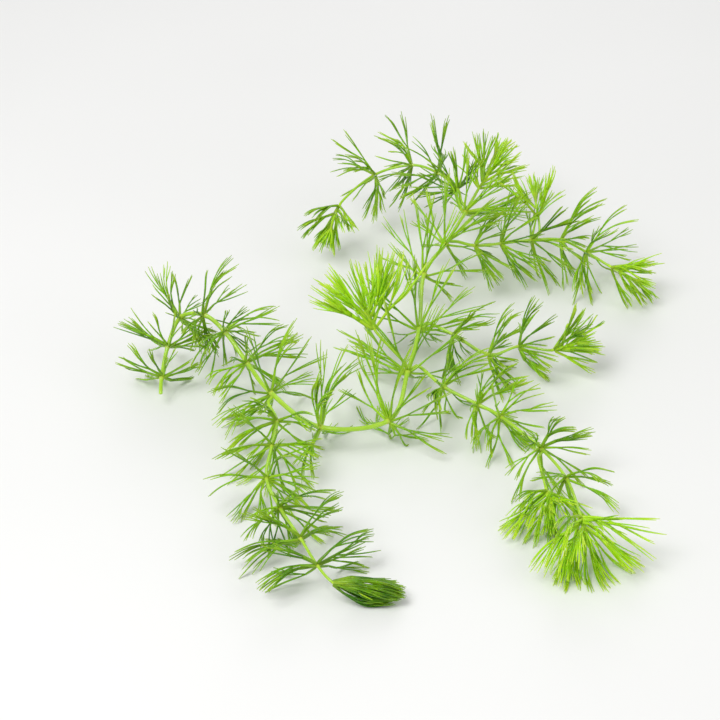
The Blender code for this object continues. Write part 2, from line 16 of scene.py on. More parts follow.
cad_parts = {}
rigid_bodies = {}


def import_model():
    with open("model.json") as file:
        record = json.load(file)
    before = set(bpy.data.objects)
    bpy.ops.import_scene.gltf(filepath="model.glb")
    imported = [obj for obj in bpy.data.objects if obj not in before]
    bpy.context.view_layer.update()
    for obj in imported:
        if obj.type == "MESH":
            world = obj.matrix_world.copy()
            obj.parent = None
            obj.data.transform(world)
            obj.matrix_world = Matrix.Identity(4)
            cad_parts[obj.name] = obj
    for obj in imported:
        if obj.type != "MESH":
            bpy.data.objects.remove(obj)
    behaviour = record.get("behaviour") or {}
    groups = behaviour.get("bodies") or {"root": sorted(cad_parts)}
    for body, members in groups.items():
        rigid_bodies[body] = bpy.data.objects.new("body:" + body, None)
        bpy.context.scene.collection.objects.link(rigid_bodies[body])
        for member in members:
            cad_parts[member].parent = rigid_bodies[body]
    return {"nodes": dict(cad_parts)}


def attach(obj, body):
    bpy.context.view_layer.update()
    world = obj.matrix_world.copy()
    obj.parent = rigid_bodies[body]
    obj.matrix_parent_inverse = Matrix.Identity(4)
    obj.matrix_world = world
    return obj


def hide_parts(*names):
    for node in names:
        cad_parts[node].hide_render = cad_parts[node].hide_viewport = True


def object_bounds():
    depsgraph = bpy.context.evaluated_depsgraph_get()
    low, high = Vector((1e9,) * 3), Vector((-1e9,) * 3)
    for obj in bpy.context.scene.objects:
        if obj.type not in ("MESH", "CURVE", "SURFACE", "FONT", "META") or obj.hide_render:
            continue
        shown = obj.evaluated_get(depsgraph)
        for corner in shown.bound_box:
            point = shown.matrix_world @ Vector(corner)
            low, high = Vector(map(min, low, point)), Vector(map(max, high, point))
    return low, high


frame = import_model()
cad_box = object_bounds()

# Lengths are in millimetres and become metres where a mesh is made.
METRE = 0.001

BOX_LOW = np.array(cad_box[0]) / METRE
BOX_HIGH = np.array(cad_box[1]) / METRE

# The middle of the plant's underside in the joints' own coordinates.
PLANT_CENTRE = Vector((10.175, -10.085, 0.192))

# Stems: the smooth tube, the way out of an axil and the swelling at a joint.
STEM_SIDES = 12
STEM_STEP = 0.7
COLLAR_HEIGHT = 0.9
JOINT_GAP = 0.3
AXIL_ANGLE = math.radians(60)
AXIL_RUN = 2.0
AXIL_POINTS = 2
KNOT_SWELL = 0.38
KNOT_LENGTH = 0.85

# A short way along a stem, as a share of the way from one joint to the next, and the least
# length that it counts for.
NUMBER_STEP = 0.05
LEAST_LENGTH = 0.001

# Reading a solid's leaf: the cosine between the edges that meet in a prong's sharp end, and
# the length of a leaf's root beside its prongs where the solid shows none.
SHARP_COSINE = 0.9
SHORT_ROOT = 0.3

# Leaves: the sides and radii of their tubes from the base to the points, how much a base and
# its fork swell, the range of thickness, how far the root reaches into the stem, the step
# between the points of a path, and the wave of a prong.
LEAF_SIDES = 5
BASE_RADIUS = 0.34
PRONG_RADIUS = 0.27
TWIG_RADIUS = 0.22
THREAD_RADIUS = 0.19
POINT_RADIUS = 0.09
BASE_SWELL = 1.25
FORK_SWELL = 1.1
THICKNESSES = (0.9, 1.1)
ROOT_SHARE = 0.75
LEAF_STEP = 1.5
WAVE_SIZE = 0.5
WAVE_TURNS = (1.1, 2.2)
WAVE_RISE = (0.2, 1.0)

# How far along a leaf, from 0 at its base to 1 at its points, its first and last forks are.
FORK_VALUE = 0.28
THREAD_VALUE = 0.8

# Forks: the points that a prong and a twig need to divide, where they do so as shares of
# their lengths, the degrees between the two threads, the side thread's length beside the
# other's, how often a twig divides, and how a side thread rises, leaves and bends back.
SHORT_PRONG = 3
SHORT_TWIG = 4
SPLIT_SHARES = (0.05, 0.3)
CUT_SHARES = (0.2, 0.45)
TWIG_DEGREES = (7, 13)
SPUR_DEGREES = (6, 12)
TWIG_SIZES = (0.8, 0.98)
SPUR_SIZES = (0.75, 0.95)
MAIN_TWIG_FORKS = 0.85
SIDE_TWIG_FORKS = 0.6
FORK_RISE = 1.2
STRAY_START = 1.4
STRAY_EASE = 0.5

# Teeth: their spacing and its range, their size and lean, and how often they change sides.
TOOTH_SPACING = 1.7
TOOTH_GUIDE = (0.3, 0.2, 1.0)
FIRST_TOOTH = (0.4, 1.0)
NEXT_TOOTH = (0.7, 1.4)
LAST_TOOTH = 0.93
TOOTH_LENGTH = 0.30
TOOTH_RADIUS = 0.06
TOOTH_TURNS = (0.0, 2.1, 4.2)
TOOTH_OUTWARD = 0.75
TOOTH_FORWARD = 0.65
TOOTH_CHANGES = 0.3

# Whorls: the leaves of each, the share that clings to another leaf, how far it turns from it
# and its size, the place and size of a leaf in a gap, and the share with clumped threads.
WHORL_LEAVES = 12
CLINGING_SHARE = 0.45
CLINGING_TURN = 0.14
CLINGING_SIZES = (0.75, 1.0)
GAP_SHARES = (0.4, 0.6)
GAP_SIZES = (0.82, 0.97)
CLUMPED_SHARE = 0.4
CLUMPED_OPENING = 0.4
AGE_SPREAD = 0.16
BUNDLED_WHORLS = ("left_whorl_05", "left_whorl_06")

# Leafy tips: the steps of their middle line, the cosine above which two leaves are
# neighbours, where a leaf between them stands, how much thicker the solid's own leaves are,
# how sharply a tip gathers to its end, the spread of ages and the stem inside.
AXIS_STEPS = 8
BESIDE_COSINE = 0.64
BETWEEN_SHARES = (0.3, 0.7)
OWN_THICKNESS = 1.05
GATHERING_POWER = 4
TIP_AGE_SPREAD = 0.22
TIP_STEM_RADII = (0.45, 0.3)
TIP_STEM_SIDES = 8
TIP_STEM_STEP = 0.8
TIP_STEM_KNOT = 0.1

# Buds: short leaves around a growing point, each wider and longer than the one before.
BUD_LEAVES = 12
BUD_TURN = 2.4
BUD_SPREAD = 0.12
BUD_SPREAD_GAIN = 0.035
BUD_LENGTH = 4.0
BUD_LENGTH_GAIN = 0.25
BUD_ROOT_DEPTH = 1.5
BUD_ROOT_OFFSET = 0.25
BUD_CURL = 0.7
BUD_REACH = 0.8
BUD_STEP = 0.9
BUD_VALUE = 0.25
AXIL_BUD_SIZE = 0.8
AXIL_BUD_RAISE = 0.5

# Meshes: the turns of a path's smoothing, the move that calls for it, the length of a tube's
# end caps beside its radius, and the directions that the sides of a tube are counted from.
SMOOTHING_TURNS = 3
SETTLING_LIMIT = 0.02
START_CAP = 0.6
END_CAP = 2.0
UP = np.array([0.0, 0.0, 1.0])
ASIDE = np.array([1.0, 0.0, 0.0])
STEEP = 0.9
TINY = 1e-9

# Random draws: each branch has its own seeds, one for each whorl and the last for its tip.
SEEDS_PER_BRANCH = 100
TIP_SEED = 99

# The photograph's viewpoint.
CAMERA_LENS = 114.0
SENSOR_WIDTH = 36.0
CAMERA_NEAR = 10.0
CAMERA_ELEVATION = math.radians(36)
CAMERA_DISTANCE = 668.0

# The stage, in metres and watts: the name, place, size and power of each light, the size of
# the floor, and the strength of the even light around.
LIGHTS = [
    ("key", (-0.35, -0.35, 0.75), 0.45, 5.0),
    ("fill", (0.7, -0.3, 0.45), 0.7, 1.4),
    ("rim", (0.1, 0.8, 0.5), 0.6, 1.7),
]
FLOOR_SIZE = 6.0
SKY_STRENGTH = 0.45

# How a leafy tip is filled: the extra leaves for each of the solid's, how far they turn
# away, the share that stands between two leaves, their thickness, how fully they fork, the
# share with clumped threads, how much the tip narrows to its end and what its age with
# painted shade gains, which darkens the whole tip.
Filling = namedtuple("Filling", "copies turns between thickness fullness clumped narrowing aging")
BUSHY = Filling(2, (0.07, 0.30), 0.3, 1.0, 0.55, 0.4, 0.0, 0.0)
WET_BRUSH = Filling(7, (0.09, 0.13), 0.5, 0.85, 1.0, 1.0, 0.5, 0.12)

# A piece of a stem: the number of its last joint and its radius at both ends.
Piece = namedtuple("Piece", "name last start_radius end_radius")

# A branch: its parent and the parent's joint that it leaves, its joints, which of them carry
# whorls, the pieces of its stem, its tip, and the age of its first and last leaves, which
# also paints shade: leaves and stems that lie in the heap's shade get darker, older colours.
Branch = namedtuple("Branch", "name parent fork joints whorls pieces tip ages")

# The last pair of each branch is its age, which also holds painted shade: branches and ends that
# lie in the heap's shade are given the darker colours of old leaves.
BRANCHES = [
    Branch("main", None, 0, [
        (-56.5, -23.0, 5.0), (-56.5, -17.5, 7.0), (-55.0, -9.5, 12.0), (-51.5, -4.0, 18.0),
        (-44.5, -7.0, 21.0), (-38.5, -11.0, 18.0), (-32.0, -19.0, 13.0), (-25.0, -30.5, 11.0),
        (-11.0, -45.0, 10.0), (8.0, -42.0, 10.0), (13.5, -22.0, 12.0), (17.0, -5.0, 15.0),
        (19.0, 20.0, 17.0), (26.0, 36.5, 17.0), (32.5, 53.0, 18.0), (36.5, 62.0, 20.0),
        (39.5, 68.0, 22.0), (42.5, 76.5, 25.0),
    ], range(1, 15), [
        Piece("main_stem_lower", 7, 0.55, 0.65),
        Piece("main_stem_middle", 10, 0.70, 0.65),
        Piece("main_stem_upper", 13, 0.65, 0.55),
        Piece("main_stem_top", 15, 0.55, 0.45),
    ], "main_tip_leaves", (0.45, 0.1)),
    Branch("left", "main", 7, [
        (-23.0, -41.0, 9.0), (-24.0, -52.0, 9.0), (-25.0, -66.0, 9.0), (-21.0, -78.5, 9.0),
        (-15.5, -90.5, 9.0), (-11.0, -100.0, 8.0), (-7.0, -105.5, 7.0), (-2.3, -106.0, 5.8),
    ], range(0, 6), [
        Piece("left_branch_stem", 6, 0.50, 0.38),
    ], "left_tip_leaves", (0.2, 0.85)),
    Branch("right", "main", 10, [
        (23.5, -26.5, 10.0), (33.0, -33.5, 9.0), (39.0, -39.0, 9.0), (49.0, -54.5, 10.0),
        (55.0, -67.5, 10.0), (57.5, -82.5, 10.0), (58.5, -89.5, 9.0),
    ], range(0, 5), [
        Piece("right_branch_stem", 5, 0.50, 0.42),
    ], "right_tip_leaves", (0.3, 0.05)),
    Branch("right_shoot", "right", 3, [
        (49.5, -69.0, 8.0), (50.0, -76.0, 7.0),
    ], range(0), [
        Piece("right_shoot_stem", 0, 0.38, 0.35),
    ], "right_shoot_leaves", (0.2, 0.2)),
    Branch("bright_shoot", "main", 10, [
        (4.4, -13.6, 20.0), (1.4, -9.4, 24.5),
    ], range(0), [
        Piece("bright_shoot_stem", 0, 0.45, 0.42),
    ], "bright_shoot_leaves", (0.0, 0.0)),
    Branch("back_right", "main", 13, [
        (35.0, 37.5, 15.5), (43.0, 39.5, 15.0), (52.5, 43.0, 14.0), (61.5, 44.5, 13.0),
        (69.0, 39.0, 12.0), (75.0, 33.5, 11.0), (79.5, 30.5, 10.0), (83.0, 28.5, 9.0),
    ], range(0, 5), [
        Piece("back_right_branch_stem", 5, 0.48, 0.38),
    ], "back_right_tip_leaves", (0.4, 0.25)),
    Branch("back_right_shoot", "back_right", 2, [
        (54.5, 48.0, 18.5), (53.5, 53.0, 23.0),
    ], range(0), [
        Piece("back_right_shoot_stem", 0, 0.38, 0.36),
    ], "back_right_shoot_leaves", (0.3, 0.2)),
    Branch("back_left", "main", 14, [
        (30.0, 61.5, 21.0), (24.0, 67.5, 23.0), (16.0, 72.0, 23.0), (4.5, 71.0, 20.0),
        (-6.0, 60.0, 16.5), (-9.0, 50.5, 13.0),
    ], range(0, 4), [
        Piece("back_left_branch_stem", 4, 0.48, 0.38),
    ], "back_left_tip_leaves", (0.5, 0.45)),
    Branch("side", "main", 11, [
        (27.0, -5.5, 13.0), (37.0, -11.0, 10.0), (46.0, -7.0, 10.0), (55.0, -9.0, 10.0),
        (62.0, -8.0, 12.0),
    ], range(0, 3), [
        Piece("side_branch_stem", 3, 0.45, 0.38),
    ], "side_tip_leaves", (0.5, 0.4)),
]

# Short new shoots in the axils of two whorls, with their headings.
AXIL_BUDS = {"main_whorl_09": (-0.35, 0.25, 0.9), "right_whorl_02": (0.1, 0.1, 1.0)}

# Colours along a leaf or from a stem to its joints, for young and old parts; the old ones
# also serve as painted shade. The tender and deep ones are those of the leafy tips, and the
# deep ones serve as painted shade too.
YOUNG_STOPS = [(0.0, (0.44, 0.70, 0.03)), (0.35, (0.31, 0.64, 0.006)),
               (0.8, (0.32, 0.64, 0.006)), (1.0, (0.47, 0.69, 0.03))]
OLD_AND_SHADED_STOPS = [(0.0, (0.18, 0.34, 0.015)), (0.35, (0.05, 0.19, 0.003)),
             (0.8, (0.06, 0.20, 0.003)), (1.0, (0.18, 0.31, 0.012))]
TENDER_STOPS = [(0.0, (0.56, 0.84, 0.05)), (0.35, (0.44, 0.82, 0.010)),
                (0.8, (0.45, 0.82, 0.010)), (1.0, (0.60, 0.84, 0.05))]
DEEP_AND_SHADED_STOPS = [(0.0, (0.20, 0.40, 0.012)), (0.35, (0.05, 0.19, 0.002)),
              (0.8, (0.06, 0.20, 0.002)), (1.0, (0.20, 0.38, 0.012))]
YOUNG_STEM_STOPS = [(0.0, (0.43, 0.68, 0.04)), (0.6, (0.53, 0.70, 0.06)),
                    (1.0, (0.62, 0.66, 0.11))]
OLD_AND_SHADED_STEM_STOPS = [(0.0, (0.30, 0.53, 0.03)), (0.6, (0.42, 0.54, 0.05)),
                  (1.0, (0.50, 0.49, 0.08))]
FLOOR_STOPS = [(0.2, (0.84, 0.84, 0.83)), (0.8, (0.88, 0.88, 0.87))]


class Route:
    """A smooth curve through a branch's joints, read by joint number."""

    def __init__(self, points, shift):
        self.points = points
        self.shift = shift

    def at(self, number):
        """The place at a joint number, whole or between two joints."""
        last = len(self.points) - 1
        low = min(max(int(math.floor(number)), 0), last - 1)
        share = number - low
        before = self.points[max(low - 1, 0)]
        start = self.points[low]
        end = self.points[low + 1]
        after = self.points[min(low + 2, last)]
        cubic = (before * -0.5 + start * 1.5 - end * 1.5 + after * 0.5) * share ** 3
        square = (before - start * 2.5 + end * 2.0 - after * 0.5) * share ** 2
        linear = (end - before) * 0.5 * share
        return start + linear + square + cubic

    def heading(self, number):
        """The direction of growth at a joint number."""
        last = len(self.points) - 1
        ahead = self.at(min(number + NUMBER_STEP, last))
        behind = self.at(max(number - NUMBER_STEP, 0))
        return (ahead - behind).normalized()


def joint_radii(branch):
    """The stem's radius at each joint of a branch."""
    found = []
    first = 0
    for piece in branch.pieces:
        count = piece.last - first
        for index in range(first, piece.last + 1):
            share = (index - first) / count if count else 1.0
            radius = piece.start_radius + (piece.end_radius - piece.start_radius) * share
            if len(found) <= index:
                found.append(radius)
        first = piece.last
    return found


def branch_route(branch, routes, radii):
    """The branch's course, and the place on its parent that it grows from."""
    points = [Vector(place) - PLANT_CENTRE for place in branch.joints]
    if branch.parent is None:
        return Route(points, 0), None
    parent = routes[branch.parent]
    number = branch.fork + parent.shift
    growth = parent.heading(number)
    own_radius = branch.pieces[0].start_radius
    fork = parent.at(number) + growth * (COLLAR_HEIGHT / 2 + JOINT_GAP + own_radius)
    outward = points[0] - fork
    outward = (outward - growth * outward.dot(growth)).normalized()
    leaving = outward * math.sin(AXIL_ANGLE) + growth * math.cos(AXIL_ANGLE)
    reach = radii[branch.parent][branch.fork] + JOINT_GAP + own_radius * math.cos(AXIL_ANGLE)
    start = fork + leaving * reach / math.sin(AXIL_ANGLE)
    return Route([start, start + leaving * AXIL_RUN] + points, AXIL_POINTS), fork


def smooth(points, step):
    """A curve through points, as an array with a point about every step."""
    points = [Vector(point) for point in points]
    last = len(points) - 1
    course = Route(points, 0)
    found = [points[0]]
    for low in range(last):
        count = max(1, round((points[low + 1] - points[low]).length / step))
        found += [course.at(low + index / count) for index in range(1, count + 1)]
    return np.array(found)


def unit(vector):
    """A vector's direction, as a vector of length 1."""
    return vector / max(np.linalg.norm(vector), TINY)


def inside_box(place):
    """A place, or the nearest one inside the frame's box."""
    return list(np.clip(place, BOX_LOW, BOX_HIGH))


def eased(path):
    """A path whose inner points move halfway to the middle of their neighbours."""
    moved = path.copy()
    moved[1:-1] = path[1:-1] * 0.5 + (path[:-2] + path[2:]) * 0.25
    return moved


def settled(path, radii):
    """A path that lies on the floor and inside the box, without sharp bends there."""
    path = np.array(path, float)
    low = BOX_LOW + np.asarray(radii)[:, None]
    high = BOX_HIGH - np.asarray(radii)[:, None]
    kept = np.clip(path, low, high)
    if len(path) > 3 and np.abs(kept - path).max() > SETTLING_LIMIT:
        for turn in range(SMOOTHING_TURNS):
            kept = np.clip(eased(kept), low, high)
    return kept


def rounded(path):
    """A path whose sharp bends are smoothed, between the same ends."""
    path = np.array(path, float)
    for turn in range(SMOOTHING_TURNS):
        path = eased(path)
    return path


class Shape:
    """A mesh in the making: points, faces and two values at each point."""

    def __init__(self):
        self.points = []
        self.faces = []
        self.along = []
        self.age = []

    def tube(self, path, radii, along, age, sides=LEAF_SIDES):
        """A closed tube along a path, with a pointed cap at both ends."""
        path = settled(path, radii)
        tangents = np.gradient(path, axis=0)
        tangents /= np.maximum(np.linalg.norm(tangents, axis=1), TINY)[:, None]
        guide = UP if abs(tangents[0][2]) < STEEP else ASIDE
        across = unit(np.cross(tangents[0], guide))
        turns = np.arange(sides) * 2 * math.pi / sides
        first = len(self.points)
        for place, tangent, radius, value in zip(path, tangents, radii, along):
            across = unit(across - tangent * (across @ tangent))
            upper = np.cross(tangent, across)
            ring = place + radius * (np.cos(turns)[:, None] * across
                                     + np.sin(turns)[:, None] * upper)
            self.points.extend(ring.tolist())
            self.along.extend([value] * sides)
            self.age.extend([age] * sides)
        for row in range(len(path) - 1):
            base = first + row * sides
            for side in range(sides):
                other = (side + 1) % sides
                self.faces.append((base + side, base + other,
                                   base + sides + other, base + sides + side))
        start = path[0] - tangents[0] * radii[0] * START_CAP
        end = path[-1] + tangents[-1] * radii[-1] * END_CAP
        self.cap(first, sides, start, along[0], age, True)
        self.cap(first + (len(path) - 1) * sides, sides, end, along[-1], age, False)

    def cap(self, first, sides, place, value, age, reverse):
        """Closes a ring of a tube with a cone."""
        centre = len(self.points)
        self.points.append(inside_box(place))
        self.along.append(value)
        self.age.append(age)
        for side in range(sides):
            here = first + side
            other = first + (side + 1) % sides
            face = (other, here, centre) if reverse else (here, other, centre)
            self.faces.append(face)

    def tooth(self, place, heading, outward, value, age):
        """A small three-sided spine, rooted just inside the leaf."""
        heading = unit(heading)
        outward = unit(outward - heading * (outward @ heading))
        side = np.cross(heading, outward)
        first = len(self.points)
        for turn in TOOTH_TURNS:
            offset = heading * math.cos(turn) + side * math.sin(turn)
            self.points.append(inside_box(place + offset * TOOTH_RADIUS))
        tip = place + (outward * TOOTH_OUTWARD + heading * TOOTH_FORWARD) * TOOTH_LENGTH
        self.points.append(inside_box(tip))
        self.along.extend([value] * 4)
        self.age.extend([age] * 4)
        a, b, c, d = range(first, first + 4)
        self.faces += [(a, b, d), (b, c, d), (c, a, d), (a, c, b)]

    def piece(self, name, material):
        """The finished mesh object, in metres."""
        points = np.array(self.points) * METRE
        mesh = bpy.data.meshes.new(name)
        mesh.from_pydata(points.tolist(), [], self.faces)
        # The age value at each point also carries painted shade.
        for label, values in (("along", self.along), ("age", self.age)):
            layer = mesh.attributes.new(label, "FLOAT", "POINT")
            layer.data.foreach_set("value", values)
        mesh.materials.append(material)
        mesh.update()
        mesh.shade_smooth()
        item = bpy.data.objects.new(name, mesh)
        bpy.context.scene.collection.objects.link(item)
        return item


# A prong of a solid's leaf: the points round its foot, its middle where it bends, and its end.
Prong = namedtuple("Prong", "ring middle end")

# A leaf: where it starts, where it forks and the path of each prong from there.
Leaf = namedtuple("Leaf", "root fork prongs")


def welded(node):
    """A node's points in millimetres and the neighbours of each."""
    mesh = frame["nodes"][node].data
    raw = np.array([vert.co for vert in mesh.vertices], float)
    keys = {}
    index = []
    for place in np.round(raw, 6):
        index.append(keys.setdefault(tuple(place), len(keys)))
    points = np.zeros((len(keys), 3))
    for number, place in zip(index, raw):
        points[number] = place / METRE
    neighbours = [set() for _ in keys]
    for face in mesh.polygons:
        corners = [index[vert] for vert in face.vertices]
        for here, there in zip(corners, corners[1:] + corners[:1]):
            neighbours[here].add(there)
            neighbours[there].add(here)
    return points, neighbours


def is_leaf_point(points, neighbours, number):
    """Whether a point is the sharp end of a three-sided prong."""
    around = neighbours[number]
    if len(around) != 3:
        return False
    arms = [points[other] - points[number] for other in around]
    arms = [arm / np.linalg.norm(arm) for arm in arms]
    return min(arms[0] @ arms[1], arms[1] @ arms[2], arms[2] @ arms[0]) > SHARP_COSINE


def prongs_of(points, neighbours):
    """Every prong of a node's leaves, found by its sharp end."""
    prongs = []
    for number in range(len(points)):
        if not is_leaf_point(points, neighbours, number):
            continue
        ring = set(neighbours[number])
        beyond = set().union(*(neighbours[other] for other in ring)) - ring - {number}
        middle = None
        # A bent prong has three points round its bend and three more round its foot.
        if len(beyond) == 3:
            middle = points[list(ring)].mean(axis=0)
            ring = beyond
        prongs.append(Prong(ring, middle, points[number]))
    return prongs


def leaves_of(node):
    """The leaves of a whorl's or tip's solid, each with two prongs."""
    points, neighbours = welded(node)
    prongs = prongs_of(points, neighbours)
    leaves = []
    used = set()
    for first in range(len(prongs)):
        if first in used:
            continue
        for second in range(first + 1, len(prongs)):
            shared = prongs[first].ring & prongs[second].ring
            if second not in used and len(shared) == 2:
                used |= {first, second}
                leaves.append(leaf_from(points, neighbours, prongs[first], prongs[second]))
                break
    return leaves


def leaf_from(points, neighbours, one, other):
    """A leaf whose two prongs share an edge of its fork."""
    rim = one.ring | other.ring
    fork = points[list(rim)].mean(axis=0)
    near = set().union(*(neighbours[number] for number in rim)) - rim
    outer = np.mean([one.end, other.end], axis=0) - fork
    base = [number for number in near if (points[number] - fork) @ outer < 0]
    root = points[base].mean(axis=0) if base else fork - outer * SHORT_ROOT
    paths = []
    for prong in (one, other):
        places = (fork, prong.middle, prong.end)
        paths.append([place for place in places if place is not None])
    return Leaf(root, fork, paths)


def turned(place, centre, turn):
    """A place turned about a centre."""
    return centre + np.array(turn @ Vector(place - centre))


def changed(leaf, move):
    """A leaf with a move applied to each of its points."""
    return Leaf(move(leaf.root), move(leaf.fork),
                [[move(place) for place in path] for path in leaf.prongs])


def with_middle(path):
    """A prong's path with three points."""
    if len(path) == 3:
        return path
    return [path[0], path[0] * 0.5 + path[1] * 0.5, path[1]]


def blended(one, other, share):
    """A leaf between two others."""
    paths = []
    for first, second in zip(one.prongs, other.prongs):
        pairs = zip(with_middle(first), with_middle(second))
        paths.append([here + (there - here) * share for here, there in pairs])
    return Leaf(one.root + (other.root - one.root) * share,
                one.fork + (other.fork - one.fork) * share, paths)


def azimuth(place, centre, axes):
    """A place's angle round a centre, from the first of two axes to the second."""
    offset = np.asarray(place) - centre
    return math.atan2(offset @ axes[1], offset @ axes[0])


def jittered(leaf, centre, growth, spread, draw):
    """A copy of a leaf, turned a little and somewhat shortened, that stands beside it."""
    turn = Matrix.Rotation(draw.gauss(0, spread), 3, growth)
    lean = Matrix.Rotation(draw.gauss(0, spread / 2), 3, growth.orthogonal())
    size = draw.uniform(*CLINGING_SIZES)
    both = turn @ lean
    return changed(leaf, lambda place: centre + (turned(place, centre, both) - centre) * size)


def leaf_in_gap(ring, centre, growth, draw):
    """A leaf in the widest gap of a ring of leaves, with its angle."""
    gaps = []
    for index, (angle, leaf) in enumerate(ring):
        ahead = ring[(index + 1) % len(ring)][0]
        gaps.append(((ahead - angle) % (2 * math.pi), index))
    gap, index = max(gaps)
    angle, before = ring[index]
    after = ring[(index + 1) % len(ring)][1]
    share = draw.uniform(*GAP_SHARES)
    first = Matrix.Rotation(gap * share, 3, growth)
    second = Matrix.Rotation(-gap * (1 - share), 3, growth)
    leaf = blended(changed(before, lambda place: turned(place, centre, first)),
                   changed(after, lambda place: turned(place, centre, second)), share)
    size = draw.uniform(*GAP_SIZES)
    leaf = changed(leaf, lambda place: centre + (place - centre) * size)
    new_angle = angle + gap * share
    if new_angle > math.pi:
        new_angle -= 2 * math.pi
    return new_angle, leaf


def filled_whorl(leaves, centre, growth, wanted, clinging_share, draw):
    """The solid's leaves, with more that cling to them or stand in the gaps."""
    across = growth.orthogonal().normalized()
    axes = (np.array(across), np.array(growth.cross(across)))
    centre = np.array(centre)
    ring = sorted(((azimuth(leaf.fork, centre, axes), leaf) for leaf in leaves),
                  key=lambda entry: entry[0])
    clinging = []
    while len(ring) + len(clinging) < wanted:
        if draw.random() < clinging_share:
            leaf = draw.choice(leaves)
            clinging.append(jittered(leaf, centre, growth, CLINGING_TURN, draw))
            continue
        ring.append(leaf_in_gap(ring, centre, growth, draw))
        ring.sort(key=lambda entry: entry[0])
    return [leaf for angle, leaf in ring] + clinging


def waved(path, draw):
    """A path with a slight sideways wave, still at its start."""
    share = np.linspace(0, 1, len(path))
    aside = [draw.uniform(-1, 1), draw.uniform(-1, 1), draw.uniform(*WAVE_RISE)]
    side = unit(np.cross(path[-1] - path[0], aside))
    wave = np.sin(share * math.pi * draw.uniform(*WAVE_TURNS)) * WAVE_SIZE * draw.uniform(-1, 1)
    return path + side * (wave * share)[:, None]


def strayed(path, side, angle, size):
    """A shorter copy of a path that leaves it sideways and then runs beside it."""
    heading = path[-1] - path[0]
    length = max(float(np.linalg.norm(heading)), TINY)
    away = unit(side - heading * (side @ heading) / length ** 2)
    share = np.linspace(0, 1, len(path))
    offset = length * math.tan(angle) * share * (STRAY_START - STRAY_EASE * share)
    return path[0] + (path + away * offset[:, None] - path[0]) * size


def taper(count, start, end):
    """Radii from a thick start to a thin end, which shrink most near the end."""
    share = np.linspace(0, 1, count)
    return start + (end - start) * share ** 2


def add_teeth(shape, path, first, last, start_value, end_value, age, draw):
    """Small teeth along a thread, on one side of it and then on the other."""
    lengths = np.linalg.norm(np.diff(path, axis=0), axis=1)
    total = float(lengths.sum())
    if total < TOOTH_SPACING:
        return
    marks = np.concatenate([[0], np.cumsum(lengths)])
    side = unit(np.cross(path[-1] - path[0], TOOTH_GUIDE))
    place = draw.uniform(*FIRST_TOOTH) * TOOTH_SPACING
    hand = draw.choice((-1.0, 1.0))
    while place < total * LAST_TOOTH:
        index = min(int(np.searchsorted(marks, place)) - 1, len(lengths) - 1)
        share = (place - marks[index]) / max(lengths[index], TINY)
        heading = path[index + 1] - path[index]
        spot = path[index] + heading * share
        value = start_value + (end_value - start_value) * place / total
        radius = first + (last - first) * place / total
        outward = side * hand
        shape.tooth(spot + outward * radius * 0.5, heading, outward, value, age)
        place += TOOTH_SPACING * draw.uniform(*NEXT_TOOTH)
        if draw.random() < TOOTH_CHANGES:
            hand = -hand


def thread(shape, path, first, last, start_value, end_value, age, draw):
    """One thread of a leaf with its teeth."""
    radii = taper(len(path), first, last)
    path = settled(path, radii)
    shape.tube(path, radii, np.linspace(start_value, end_value, len(path)), age)
    add_teeth(shape, path, first, last, start_value, end_value, age, draw)


def add_twig(shape, twig, forks, side, thick, opening, value, age, draw):
    """A twig of a leaf, which ends in two threads where it forks and in one where not."""
    if not forks or len(twig) <= SHORT_TWIG:
        thread(shape, twig, TWIG_RADIUS * thick, POINT_RADIUS, value, 1.0, age, draw)
        return
    cut = round(len(twig) * draw.uniform(*CUT_SHARES))
    thread(shape, twig[:cut + 1], TWIG_RADIUS * thick, THREAD_RADIUS * thick,
           value, THREAD_VALUE, age, draw)
    rest = twig[cut:]
    angle = math.radians(draw.uniform(*SPUR_DEGREES)) * opening
    spur = strayed(rest, side, angle, draw.uniform(*SPUR_SIZES))
    for path in (rest, spur):
        thread(shape, path, THREAD_RADIUS * thick, POINT_RADIUS, THREAD_VALUE, 1.0, age, draw)


def add_prong(shape, prong, thick, opening, fullness, age, draw):
    """A prong of a leaf, which divides into two twigs unless it is very short."""
    last = len(prong) - 1
    if last < SHORT_PRONG:
        thread(shape, prong, PRONG_RADIUS * thick, POINT_RADIUS, FORK_VALUE, 1.0, age, draw)
        return
    split = max(1, min(last - 2, round(last * draw.uniform(*SPLIT_SHARES))))
    side = np.cross(prong[-1] - prong[0], [draw.uniform(-1, 1), draw.uniform(-1, 1), FORK_RISE])
    side = side * draw.choice((-1.0, 1.0))
    value = FORK_VALUE + (1.0 - FORK_VALUE) * split / last
    thread(shape, prong[:split + 1], PRONG_RADIUS * thick, TWIG_RADIUS * thick,
           FORK_VALUE, value, age, draw)
    main = prong[split:]
    angle = math.radians(draw.uniform(*TWIG_DEGREES)) * opening
    branch = strayed(main, side, angle, draw.uniform(*TWIG_SIZES))
    main_forks = draw.random() < MAIN_TWIG_FORKS * fullness
    side_forks = draw.random() < SIDE_TWIG_FORKS * fullness
    add_twig(shape, main, main_forks, -side, thick, opening, value, age, draw)
    add_twig(shape, branch, side_forks, -side, thick, opening, value, age, draw)


